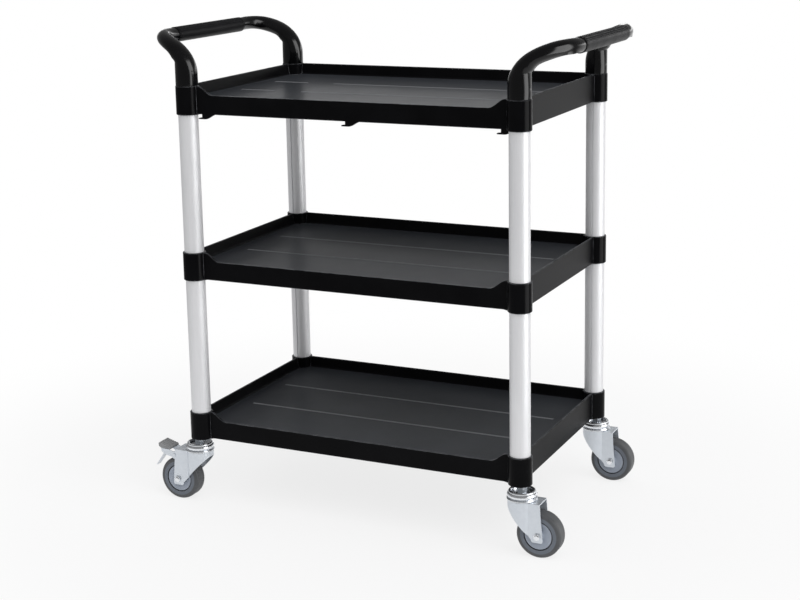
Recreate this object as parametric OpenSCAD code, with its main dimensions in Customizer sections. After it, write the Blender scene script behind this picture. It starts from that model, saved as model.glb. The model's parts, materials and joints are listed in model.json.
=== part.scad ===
// Three-shelf rolling utility cart.
// Origin: floor level, midway between the four posts. +X runs along the length,
// -Y is the front with the lowered shelf lips, +Z is up. Millimetres.

/* [Frame] */
// Distance between post axes along the length
post_span_x = 710; // [620:10:820]
// Distance between post axes across the width
post_span_y = 438; // [380:2:480]
// Outside diameter of the round posts
post_d = 40; // [38:0.5:41]
// Wall of the post tube
post_wall = 2; // [1.6:0.1:2.4]
// Width of the groove down the inner side of each post
groove_w = 3; // [2.6:0.1:4]
// Depth of that groove
groove_depth = 2.4; // [2.2:0.1:3]
// Height of the bottom shelf's socket ends above the floor
first_shelf_z = 137; // [137:1:150]
// Height from one shelf to the next
shelf_pitch = 340; // [300:5:380]

/* [Shelf trays] */
// Height of the corner sockets, which is also the height of the full lips
socket_h = 58; // [56:1:64]
// Outside diameter of the corner sockets
socket_d = 47; // [46:0.5:50]
// Outer wall face beyond the post axes
wall_out = 4; // [3:0.5:6]
// Thickness of the lip at its rim
lip_t = 4; // [3.5:0.5:5]
// Depth of the tray floor under the rim
tray_depth = 24; // [22:1:27]
// Thickness of the tray floor
floor_t = 3.5; // [3:0.5:4.5]
// Drop of the front lip under the rim
front_drop = 18; // [14:1:20]
// Length of each S-shaped end of the front lip
lip_sweep = 36; // [28:2:44]
// Gap from a socket's lower end up to the skirt's lower edge
skirt_up = 1.5; // [0.5:0.5:3]
// Ribs along the underside of a tray
ribs_long = 4; // [2:1:5]
// Ribs across the underside of a tray
ribs_cross = 7; // [5:1:8]
// Thickness of the underside ribs
rib_t = 2.6; // [2.2:0.2:3.4]
// Distance of the raised floor beads from the middle
bead_y = 71; // [60:1:80]
// Width of a floor bead
bead_w = 3.2; // [2.4:0.2:5]

/* [Handles] */
// Outward reach of the grip bar from the post axes
handle_reach = 84; // [78:1:90]
// Height of the grip bar's axis above the top rim
handle_rise = 90.5; // [86:0.5:96]
// Diameter of a handle leg at its foot
leg_d = 45; // [44:0.5:46]
// Length of the ribbed grip
grip_len = 262; // [220:2:280]
// Diameter of the ribbed grip
grip_d = 31.4; // [31:0.2:33]

/* [Casters] */
// Wheel diameter over the tyre
wheel_d = 90; // [86:1:92]
// Tyre width
tyre_w = 31; // [28:1:32]
// Distance from the swivel axis back to the axle
trail = 38; // [36:1:40]
// The same distance on the braked casters
brake_trail = 45; // [43:1:45]
// Swivel axis beyond the post axis, along the length
stem_out_x = 5; // [0:1:6]
// Swivel axis beyond the post axis, across the width
stem_out_y = 3.5; // [0:0.5:5]
// Diameter of the ball race housing
race_d = 60; // [58:1:62]
// Fork plate thickness
fork_t = 2.5; // [2:0.1:3]

/* [Hidden] */
$fn = 64;
seat = 0.1;                       // gap between seated pieces
px = post_span_x / 2;
py = post_span_y / 2;
wx = px + wall_out;               // outer wall faces
wy = py + wall_out;
sr = socket_d / 2;
bore_r = post_d / 2 + seat;
bore_depth = 24;
floor_z = socket_h - tray_depth;  // tray floor above the socket ends
level = [for (i = [0:2]) first_shelf_z + i * shelf_pitch];
rim_z = level[2] + socket_h;
slope_t = 3;                      // extra wall thickness at the floor
grip_core_d = grip_d - 2.6;
swivel_x = px + stem_out_x;
swivel_y = py + stem_out_y;
wheel_r = wheel_d / 2;
axle_d = 8;
stem_d = 12;
fork_top = first_shelf_z - 27;    // upper face of the fork crown
fork_w = tyre_w + 10;             // over both legs
fork_in = fork_w / 2 - fork_t;
race_low = fork_top + 0.4;
race_top = first_shelf_z - 8.5;
pivot_x = 52;                     // brake pedal pin, from the swivel axis
pivot_z = 97;
corner = [["fl", -1, -1], ["fr", 1, -1], ["bl", -1, 1], ["br", 1, 1]];
function axle_x(c) = c[1] < 0 ? brake_trail : trail;

function smooth(a, b, t) = let(k = min(1, max(0, (t - a) / (b - a)))) k * k * (3 - 2 * k);
function mix(a, b, k) = a + (b - a) * k;
function unit(v) = v / norm(v);
// S-curve between two heights, as points from x0 to x1
function s_curve(x0, z0, x1, z1, n = 14) =
    [for (i = [0:n]) let(t = i / n) [mix(x0, x1, t), mix(z0, z1, (1 - cos(180 * t)) / 2)]];
// Points on an arc about c, from angle a to angle b
function arc(c, r, a, b, n = 6) = [for (i = [0:n]) c + r * [cos(mix(a, b, i / n)), sin(mix(a, b, i / n))]];

// Mirrors its children where sx or sy is negative
module flip(sx, sy) { mirror([sx < 0 ? 1 : 0, 0, 0]) mirror([0, sy < 0 ? 1 : 0, 0]) children(); }

module at_corners() { for (c = corner) translate([c[1] * px, c[2] * py, 0]) children(); }

// ---------------------------------------------------------------- shelf trays

// Wall section: u is outward, height is along y. Drafted inside, rounded into the floor,
// with a thin skirt below it.
module wall_section() {
    foot = -lip_t - slope_t;
    fillet = arc([foot - 4.4, floor_z + 5], 5, -7, -90, 4);
    polygon(concat([[-0.6, skirt_up], [0, skirt_up + 0.6], [0, socket_h - 1], [-1, socket_h],
        [1 - lip_t, socket_h], [-lip_t, socket_h - 1]], fillet, [[foot - 4.4, floor_z - floor_t],
        [foot, floor_z - floor_t], [-3, floor_z - floor_t - 4], [-3, skirt_up]]));
}

// Wall running along X, outer face at y = -wy
module long_wall() {
    translate([-wx, -wy, 0]) rotate([90, 0, 90]) linear_extrude(2 * wx)
        mirror([1, 0]) wall_section();
}

// Wall running along Y, outer face at x = wx
module end_wall() {
    translate([wx, wy, 0]) rotate([90, 0, 0]) linear_extrude(2 * wy) wall_section();
}

// Front elevation of what is cut away above the lowered lip
module lip_notch() {
    x1 = px - sr - 1;
    x0 = x1 - lip_sweep;
    low = socket_h - front_drop;
    right = s_curve(x0, low, x1, socket_h);
    left = [for (i = [len(right) - 1:-1:0]) [-right[i][0], right[i][1]]];
    translate([0, -wy + lip_t + slope_t + 2, 0]) rotate([90, 0, 0]) linear_extrude(lip_t + slope_t + 4)
        polygon(concat(left, right, [[x1, socket_h + 2], [-x1, socket_h + 2]]));
}

// Fillet under the skirt where it runs into a socket's lower end
module skirt_fillet(len_) {
    w = 9;
    linear_extrude(len_) polygon(concat([[-14, 0]], s_curve(0, 0, w, skirt_up, 6),
        [[w, skirt_up + 1], [-14, skirt_up + 1]]));
}

module skirt_fillets() {
    for (sx = [-1, 1], sy = [-1, 1]) flip(sx, sy) {
        translate([px - sr + 1, wy, 0]) mirror([1, 0, 0]) rotate([90, 0, 0]) skirt_fillet(3);
        translate([wx - 3, py - sr + 1, 0]) mirror([0, 1, 0]) rotate([90, 0, 90]) skirt_fillet(3);
    }
}

module underside_ribs() {
    zb = 12;
    zt = floor_z - floor_t + 1;
    for (i = [1:ribs_long]) let(y = -wy + 2 * wy * i / (ribs_long + 1))
        translate([-wx + 2, y - rib_t / 2, zb]) cube([2 * wx - 4, rib_t, zt - zb]);
    for (i = [1:ribs_cross]) let(x = -wx + 2 * wx * i / (ribs_cross + 1))
        translate([x - rib_t / 2, -wy + 2, zb]) cube([rib_t, 2 * wy - 4, zt - zb]);
}

// Low bead on the tray floor from x0 to x1
module bead(x0, x1) {
    for (s = [-1, 1]) translate([x0, s * bead_y, floor_z - 0.5]) rotate([90, 0, 90])
        linear_extrude(x1 - x0) polygon([[-bead_w / 2, 0], [-bead_w / 2, 0.5], [-bead_w / 4, 1.3],
            [bead_w / 4, 1.3], [bead_w / 2, 0.5], [bead_w / 2, 0]]);
}

module sockets_outer() {
    at_corners() rotate_extrude() polygon([[0, 0], [sr - 1, 0], [sr, 1], [sr, socket_h - 1],
        [sr - 1, socket_h], [0, socket_h]]);
}

module sockets_bores() {
    for (c = corner) translate([c[1] * px, c[2] * py, 0]) {
        translate([0, 0, socket_h - bore_depth]) cylinder(r = bore_r, h = bore_depth + 1);
        translate([0, 0, -10]) cylinder(r = bore_r, h = bore_depth + 10);
    }
}

// Key in a socket bore that enters the groove of the post
module bore_keys(low, high) {
    kw = groove_w - 0.6;
    for (c = corner) translate([c[1] * px, c[2] * py, 0]) flip(1, -c[2]) {
        if (high) translate([-kw / 2, bore_r - 1.9, socket_h - bore_depth - 1]) cube([kw, 2.8, bore_depth]);
        if (low) translate([-kw / 2, bore_r - 1.9, 1]) cube([kw, 2.8, bore_depth]);
    }
}

// Hooks under the front skirt, each open to the left; the last one ends at the post
module hooks() {
    low = -8.3;
    for (x = [-320, 0, 320]) translate([x, -wy + 4, 0]) rotate([90, 0, 0]) linear_extrude(4)
        polygon(concat([[0, skirt_up + 3], [0, -4.6], [-7.2, -5.6], [-8.6, -6.8], [-7.6, -8.2], [0, low]],
            s_curve(7, low, 34, skirt_up + 0.5, 8), [[34, skirt_up + 3]]));
}

module shelf(gap, low_key, high_key, clips) {
    color([0.05, 0.05, 0.055]) {
        difference() {
            union() {
                difference() {
                    union() {
                        translate([-wx + 2, -wy + 2, floor_z - floor_t]) cube([2 * wx - 4, 2 * wy - 4, floor_t]);
                        long_wall();
                        rotate([0, 0, 180]) long_wall();
                        end_wall();
                        rotate([0, 0, 180]) end_wall();
                        underside_ribs();
                        skirt_fillets();
                    }
                    lip_notch();
                }
                sockets_outer();
                if (gap) { bead(-px + 37, -px + 117); bead(-px + 179, px - 37); }
                else bead(-px + 40, px - 37);
                if (clips) hooks();
            }
            sockets_bores();
        }
        bore_keys(low_key, high_key);
    }
}

module shelf_top() { translate([0, 0, level[2]]) shelf(true, true, false, true); }
module shelf_middle() { translate([0, 0, level[1]]) shelf(false, true, true, false); }
module shelf_bottom() { translate([0, 0, level[0]]) shelf(true, false, true, false); }

// ---------------------------------------------------------------------- posts

// Round extrusion with a groove on its +Y side and a screw channel behind it
module post_section() {
    r = post_d / 2;
    gw = groove_w / 2;
    difference() {
        union() {
            difference() { circle(r); circle(r - post_wall); }
            intersection() {
                circle(r - 0.5);
                translate([-gw - 1.6, r - groove_depth - 4.2]) square([groove_w + 3.2, groove_depth + 4.2]);
            }
        }
        translate([-gw, r - groove_depth]) square([groove_w, groove_depth + 1]);
    }
}

module post(i, c) {
    z0 = level[i] + socket_h - bore_depth + seat;
    z1 = level[i + 1] + bore_depth - seat;
    color([0.78, 0.79, 0.81]) translate([c[1] * px, c[2] * py, z0]) flip(1, -c[2])
        linear_extrude(z1 - z0) post_section();
}

// -------------------------------------------------------------------- handles

leg_r = leg_d / 2;
bend_r = 14.5;                     // half height of the bend where it meets the grip
top_r = 15.8;
side_r = 13.9;
sweep_y = 86;                      // where the bend runs into the straight bar
leg_foot = 20;                     // straight foot of each leg
crook_z = 53;                      // where a leg's outer side meets the underside of the bend
keel = 35;                         // angle of the ridge along the bend's outer lower side
bend = [[0, 0, leg_foot], [0, 0, 80.6], [handle_reach + 2, -6.2, handle_rise + 6],
    [handle_reach, sweep_y, handle_rise]];
function bezier(t) = let(u = 1 - t)
    u * u * u * bend[0] + 3 * u * u * t * bend[1] + 3 * u * t * t * bend[2] + t * t * t * bend[3];
function heading(t) = unit(bezier(min(1, t + 0.001)) - bezier(max(0, t - 0.001)));
function upper(d) = let(ref = [-1, 0, 1] / sqrt(2)) unit(ref - (ref * d) * d);
// Offsets from the sweep line: to the inner and upper outline, and to the underside
function over(t) = mix(leg_r, top_r, smooth(0, 0.62, t));
function under_bend(t) = 2 * mix(leg_r, bend_r, smooth(0, 0.42, t)) - over(t);
function under(t) = let(b = bezier(t), n = upper(heading(t)), s = (leg_r - b[0]) / max(0.05, -n[0]))
    b[2] - s * n[2] <= crook_z ? max(s, under_bend(t)) : under_bend(t);
function half_w(t) = mix(leg_r, side_r, smooth(0.35, 0.83, t));
function ridge(t) = keel * smooth(0.57, 0.84, t) * (1 - smooth(0.84, 1, t));

ring_n = 28;
// Ellipse about c in the plane of n and l, drawn out to a blunt ridge on the side away from n
function ring(c, n, l, a, b, k = 0) = [for (i = [0:ring_n - 1])
    let(u = 360 * i / ring_n, grow = 1 / cos(max(0, k - abs(u - 180))))
        c + grow * (b * cos(u) * n + a * sin(u) * l)];
function flat_ring(z, r) = ring([0, 0, z], [-1, 0, 0], [0, 1, 0], r, r);
function bend_ring(t) = let(d = heading(t), n = upper(d), h = (over(t) + under(t)) / 2)
    ring(bezier(t) + (over(t) - h) * n, n, cross(n, d), half_w(t), h, ridge(t));
bar = bezier(1) + (over(1) - bend_r) * upper([0, 1, 0]);  // centre of the bar at its ends
function bar_ring(y, r) = ring([bar[0], y, bar[2]], upper([0, 1, 0]), cross(upper([0, 1, 0]), [0, 1, 0]), r, r);

bend_steps = 22;
half_rings = concat(
    [flat_ring(-bore_depth + 2, post_d / 2 - 0.8), flat_ring(-bore_depth + 3, post_d / 2 - seat),
        flat_ring(0, post_d / 2 - seat), flat_ring(0.05, leg_r - 0.6), flat_ring(0.6, leg_r)],
    [for (i = [0:bend_steps]) bend_ring(i / bend_steps)],
    [bar_ring(py - grip_len / 2 - 0.2, bend_r - 0.2), bar_ring(py - grip_len / 2, grip_core_d / 2 - 0.1)]);

// Skin over a row of rings with the same number of points
module skin(rings) {
    m = len(rings);
    side = [for (i = [0:m - 2], j = [0:ring_n - 1], h = [0, 1])
        let(p = i * ring_n + j, q = i * ring_n + (j + 1) % ring_n)
            h == 0 ? [p, q, p + ring_n] : [q, q + ring_n, p + ring_n]];
    polyhedron([for (r = rings, p = r) p], concat([[for (j = [ring_n - 1:-1:0]) j]], side,
        [[for (j = [0:ring_n - 1]) (m - 1) * ring_n + j]]), convexity = 6);
}

module handle() {
    half = [for (r = half_rings) [for (p = r) [p[0], p[1] - py, p[2]]]];
    other = [for (i = [len(half) - 1:-1:0]) [for (p = half[i]) [p[0], -p[1], p[2]]]];
    color([0.03, 0.03, 0.035]) translate([px, 0, rim_z]) skin(concat(half, other));
}

module handle_right() { handle(); }
module handle_left() { mirror([1, 0, 0]) handle(); }

// Sleeve with fine grooves along its upper half
module grip() {
    color([0.09, 0.09, 0.1]) translate([px + bar[0], grip_len / 2 - 0.15, rim_z + bar[2]])
        rotate([90, 0, 0]) difference() {
            cylinder(d = grip_d, h = grip_len - 0.3);
            translate([0, 0, -1]) cylinder(d = grip_core_d, h = grip_len + 2);
            for (a = [36:18:144]) rotate([0, 0, a]) translate([grip_d / 2 - 0.6, -0.7, 8])
                cube([2, 1.4, grip_len - 16.3]);
        }
}

module grip_right() { grip(); }
module grip_left() { mirror([1, 0, 0]) grip(); }

// -------------------------------------------------------------------- casters

// Puts a caster piece, drawn with its swivel axis on Z and its wheel trailing to +X,
// at a corner; the wheels of the left casters trail to -X.
module on_corner(c) {
    translate([c[1] * swivel_x, c[2] * swivel_y, 0]) flip(c[1], 1) children();
}

module stem_plugs() {
    color([0.06, 0.06, 0.065]) for (c = corner) difference() {
        translate([c[1] * px, c[2] * py, level[0] + seat])
            cylinder(r = post_d / 2 - seat, h = bore_depth - 2 * seat);
        translate([c[1] * swivel_x, c[2] * swivel_y, level[0] - 1]) cylinder(d = stem_d + 0.2, h = bore_depth + 3);
    }
}

module stem(c) {
    color([0.72, 0.73, 0.75]) on_corner(c) {
        translate([0, 0, fork_top - 9]) cylinder(d = 20, h = 9 - fork_t - 0.3);
        translate([0, 0, fork_top - 4]) cylinder(d = stem_d, h = level[0] + 20 - fork_top + 4);
        translate([0, 0, race_top - 6 + seat]) cylinder(d = 21.5, h = level[0] - race_top + 6 - 2 * seat, $fn = 6);
    }
}

// Pressed race housing: open cup on top, bulged ring, rolled lower edge, ball track underneath
module race(c) {
    r = race_d / 2;
    h = race_top - race_low;
    hole = stem_d / 2 + 0.15;
    color([0.8, 0.81, 0.83]) on_corner(c) translate([0, 0, race_low]) rotate_extrude()
        polygon(concat([[hole + 4, 0]], arc([r - 9, -0.4], 3.6, 173.6, 6.4, 8),
            arc([r - 1.7, 1.7], 1.7, -90, 80, 5), [[r - 3.6, 3.4]],
            arc([r - 6.5, h / 2 + 0.5], 6, -58, 48, 8), arc([r - 6.2, h - 3], 3, -10, 180, 8),
            [[r - 9.2, h - 6], [hole, h - 6], [hole, 2.2], [hole + 4, 2.2]]));
}

module crown_outline(o) {
    circle(r = race_d / 2 - 1.8 - o);
    translate([0, -fork_w / 2 + o]) square([60, fork_w - 2 * o]);
}

module fork_side(t) {
    a = fork_top;
    polygon([[-31, a], [-31, a - 6], [t - 13.5, 38.5], [t - 12.5, 34.5], [t - 10, 32.5],
        [t + 8, 32.5], [t + 10.5, 34.5], [t + 11, 37], [t + 4.5, a]]);
}

module fork(c, brake = false) {
    color([0.76, 0.78, 0.8]) on_corner(c) difference() {
        union() {
            intersection() {
                difference() {
                    translate([0, 0, 30]) linear_extrude(fork_top - 30) crown_outline(0);
                    translate([0, 0, 29]) linear_extrude(fork_top - 29 - fork_t) {
                        crown_outline(fork_t);
                        translate([20, -fork_in]) square([60, 2 * fork_in]);
                    }
                }
                translate([0, 40, 0]) rotate([90, 0, 0]) linear_extrude(80) fork_side(axle_x(c));
            }
            if (brake) for (s = [-1, 1]) translate([0, s * (fork_in + fork_t / 2) + fork_t / 2, 0])
                rotate([90, 0, 0]) linear_extrude(fork_t)
                    polygon([[brake_trail - 6, 86], [pivot_x + 3, 89], [pivot_x + 7, 93], [pivot_x + 8, 99],
                        [pivot_x + 5, 104], [brake_trail - 6, fork_top - 3]]);
        }
        translate([0, 0, fork_top - 10]) cylinder(d = stem_d + 0.12, h = 20);
        translate([axle_x(c), 50, wheel_r]) rotate([90, 0, 0]) cylinder(d = axle_d + 0.1, h = 100);
        if (brake) translate([pivot_x, 50, pivot_z]) rotate([90, 0, 0]) cylinder(d = 5.1, h = 100);
    }
}

module axle(c) {
    color([0.82, 0.83, 0.85]) on_corner(c) translate([axle_x(c), 0, wheel_r]) rotate([90, 0, 0]) {
        translate([0, 0, -fork_w / 2 - 6]) cylinder(d = axle_d, h = fork_w + 7);
        translate([0, 0, fork_w / 2 + seat]) cylinder(d = 13.9, h = 3.6, $fn = 6);
        translate([0, 0, fork_w / 2 + seat + 3.6]) cylinder(d1 = 10.5, d2 = 7, h = 1.2);
    }
}

module nut(c) {
    color([0.7, 0.71, 0.73]) on_corner(c) translate([axle_x(c), fork_w / 2 + seat, wheel_r]) rotate([-90, 0, 0])
        difference() {
            union() { cylinder(d = 13.9, h = 4.5, $fn = 6); cylinder(d = 11, h = 5.6); }
            translate([0, 0, -1]) cylinder(d = axle_d + 0.1, h = 9);
        }
}

module spun_y() { rotate([90, 0, 0]) rotate_extrude() children(); }

module bush(c) {
    color([0.35, 0.36, 0.38]) on_corner(c) translate([axle_x(c), 0, wheel_r]) spun_y()
        translate([axle_d / 2 + 0.06, -fork_in + 0.3]) square([2.2, 2 * fork_in - 0.6]);
}

hub_r = 28;

// Moulded wheel centre with a dished face and a raised boss
module hub(c) {
    w = tyre_w / 2;
    b = axle_d / 2 + 2.4;
    color([0.55, 0.57, 0.6]) on_corner(c) translate([axle_x(c), 0, wheel_r]) spun_y()
        polygon([[b, -fork_in + 0.8], [b + 3.6, -fork_in + 0.8], [b + 5, -w + 2.4], [b + 9, -w + 2.8],
            [hub_r - 4.5, -w + 1.2], [hub_r - 3, -w + 0.6], [hub_r - 0.9, -w + 0.6], [hub_r - 0.9, -w + 3],
            [hub_r, -w + 3], [hub_r, w - 3], [hub_r - 0.9, w - 3], [hub_r - 0.9, w - 0.6],
            [hub_r - 3, w - 0.6], [hub_r - 4.5, w - 1.2], [b + 9, w - 2.8], [b + 5, w - 2.4],
            [b + 3.6, fork_in - 0.8], [b, fork_in - 0.8]]);
}

// Soft tyre: flat side walls, rounded shoulders, slightly crowned tread
module tyre(c) {
    w = tyre_w / 2;
    s = 6;
    color([0.36, 0.37, 0.38]) on_corner(c) translate([axle_x(c), 0, wheel_r]) spun_y() {
        translate([hub_r + 0.02, -w]) square([wheel_r - s - hub_r, 2 * w]);
        translate([wheel_r - s - 1, -w + s]) square([s + 1, 2 * w - 2 * s]);
        for (y = [-w + s, w - s]) translate([wheel_r - s, y]) circle(s);
    }
}

// --------------------------------------------------------------------- brakes

module brake_pin(c) {
    color([0.75, 0.76, 0.78]) on_corner(c) translate([pivot_x, 0, pivot_z]) rotate([90, 0, 0]) {
        cylinder(d = 5, h = fork_w + 1, center = true);
        for (s = [-1, 1]) translate([0, 0, s * (fork_w / 2 + 0.9)]) cylinder(d = 7.6, h = 1.6, center = true);
    }
}

// Two cheeks on the pin, a shoe between them, and a release blade that hangs behind the pad
module pedal(c) {
    ci = fork_in - 0.3;
    ct = 1.6;
    color([0.78, 0.79, 0.81]) on_corner(c) difference() {
        union() {
            for (s = [-1, 1]) translate([0, s * (ci - ct / 2) + ct / 2, 0]) rotate([90, 0, 0]) linear_extrude(ct)
                polygon([[pivot_x - 5.4, 94], [pivot_x - 2, 91.2], [pivot_x + 5, 90.6], [pivot_x + 22, 93.5],
                    [pivot_x + 33, 100], [pivot_x + 34, 106.8], [pivot_x + 15, 106.2], [pivot_x + 4, 102.6],
                    [pivot_x - 4, 101.5]]);
            translate([0, ci, 0]) rotate([90, 0, 0]) linear_extrude(2 * ci)
                polygon([[pivot_x + 7, 90.8], [pivot_x + 14, 92.2], [pivot_x + 14, 94.6], [pivot_x + 7, 93.2]]);
            translate([0, 7, 0]) rotate([90, 0, 0]) linear_extrude(14)
                polygon([[pivot_x + 27, 100], [pivot_x + 29, 101], [pivot_x + 38, 88], [pivot_x + 54, 65],
                    [pivot_x + 53.1, 63.4], [pivot_x + 35, 87]]);
            translate([0, ci, 0]) rotate([90, 0, 0]) linear_extrude(2 * ci)
                polygon([[pivot_x + 26, 99.2], [pivot_x + 32.2, 101], [pivot_x + 31.4, 103], [pivot_x + 25, 101.2]]);
        }
        translate([pivot_x, 50, pivot_z]) rotate([90, 0, 0]) cylinder(d = 5.1, h = 100);
    }
}

// Moulded foot pad, sloping up to its free end
module pad(c) {
    w = 33;
    color([0.5, 0.51, 0.52]) on_corner(c) difference() {
        translate([0, w / 2, 0]) rotate([90, 0, 0]) linear_extrude(w)
            polygon([[pivot_x + 12, 106.2], [pivot_x + 35, 107], [pivot_x + 40, 110], [pivot_x + 41, 116.5],
                [pivot_x + 39, 118.6], [pivot_x + 14, 111.4], [pivot_x + 11.5, 109.4]]);
        // grooves across the sloping top
        for (i = [0:4]) translate([pivot_x + 17 + 4.4 * i, -w, 111.3 + 1.27 * i]) rotate([0, -16, 0])
            cube([1.6, 2 * w, 3]);
    }
}

// ----------------------------------------------------------------------- tree

fl = corner[0]; fr = corner[1]; bl = corner[2]; br = corner[3];

shelf_top();
shelf_middle();
shelf_bottom();
post(1, fl);  // post_upper_fl
post(1, fr);  // post_upper_fr
post(1, bl);  // post_upper_bl
post(1, br);  // post_upper_br
post(0, fl);  // post_lower_fl
post(0, fr);  // post_lower_fr
post(0, bl);  // post_lower_bl
post(0, br);  // post_lower_br
handle_left();
handle_right();
grip_left();
grip_right();
stem_plugs();
stem(fl);  // stem_fl
race(fl);  // race_fl
fork(fl, true);  // fork_fl
axle(fl);  // axle_fl
nut(fl);  // nut_fl
bush(fl);  // bush_fl
hub(fl);  // hub_fl
tyre(fl);  // tyre_fl
stem(fr);  // stem_fr
race(fr);  // race_fr
fork(fr);  // fork_fr
axle(fr);  // axle_fr
nut(fr);  // nut_fr
bush(fr);  // bush_fr
hub(fr);  // hub_fr
tyre(fr);  // tyre_fr
stem(bl);  // stem_bl
race(bl);  // race_bl
fork(bl, true);  // fork_bl
axle(bl);  // axle_bl
nut(bl);  // nut_bl
bush(bl);  // bush_bl
hub(bl);  // hub_bl
tyre(bl);  // tyre_bl
stem(br);  // stem_br
race(br);  // race_br
fork(br);  // fork_br
axle(br);  // axle_br
nut(br);  // nut_br
bush(br);  // bush_br
hub(br);  // hub_br
tyre(br);  // tyre_br
brake_pin(fl);  // brake_pin_fl
pedal(fl);  // pedal_fl
pad(fl);  // pad_fl
brake_pin(bl);  // brake_pin_bl
pedal(bl);  // pedal_bl
pad(bl);  // pad_bl
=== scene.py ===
"""Looks of a three-tray rolling utility cart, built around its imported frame."""

import json
import logging
import math
from dataclasses import dataclass, field
from enum import Enum
from typing import ClassVar, Iterable

import bmesh
import bpy
from mathutils import Matrix, Vector

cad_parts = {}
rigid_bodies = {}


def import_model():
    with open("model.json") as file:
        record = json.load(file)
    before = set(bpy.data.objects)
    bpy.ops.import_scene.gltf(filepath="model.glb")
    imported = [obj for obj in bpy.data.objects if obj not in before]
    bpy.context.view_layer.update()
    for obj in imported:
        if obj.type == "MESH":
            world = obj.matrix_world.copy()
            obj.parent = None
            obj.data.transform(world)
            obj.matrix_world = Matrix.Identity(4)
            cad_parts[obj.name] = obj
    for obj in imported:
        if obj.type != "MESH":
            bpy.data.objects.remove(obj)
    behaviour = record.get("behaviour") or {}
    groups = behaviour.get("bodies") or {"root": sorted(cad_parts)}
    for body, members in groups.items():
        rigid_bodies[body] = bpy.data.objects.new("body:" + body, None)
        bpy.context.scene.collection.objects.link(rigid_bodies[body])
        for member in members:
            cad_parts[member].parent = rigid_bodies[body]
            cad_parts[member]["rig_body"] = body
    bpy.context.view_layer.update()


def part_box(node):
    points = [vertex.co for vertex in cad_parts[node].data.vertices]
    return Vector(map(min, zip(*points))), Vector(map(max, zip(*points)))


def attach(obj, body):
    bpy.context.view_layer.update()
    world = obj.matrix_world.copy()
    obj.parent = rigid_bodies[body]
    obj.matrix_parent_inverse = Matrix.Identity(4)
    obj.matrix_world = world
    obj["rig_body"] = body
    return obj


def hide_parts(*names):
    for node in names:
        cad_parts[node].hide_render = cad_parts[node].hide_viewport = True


LOG = logging.getLogger("cart")
MM = 0.001
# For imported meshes: points closer than this are one, faces that turn by less are one flat, and how
# strongly large faces set the shading normals beside a rounded edge.
WELD = 0.002 * MM
FLAT = math.radians(0.6)
FACE_WEIGHT = 80

Colour = tuple[float, float, float]
Span = tuple[float, float]
Ring = list[Vector]
Socket = bpy.types.NodeSocket
Sockets = dict[str, Socket]


class Corner(Enum):
    """The cart's corners, as node names have them. The front is at -Y."""

    FRONT_LEFT = "fl"
    FRONT_RIGHT = "fr"
    BACK_LEFT = "bl"
    BACK_RIGHT = "br"


class Side(Enum):
    """The two short ends of the cart, as signs along X."""

    LEFT = -1
    RIGHT = 1


# ------------------------------------------------------------------ shader trees


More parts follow.
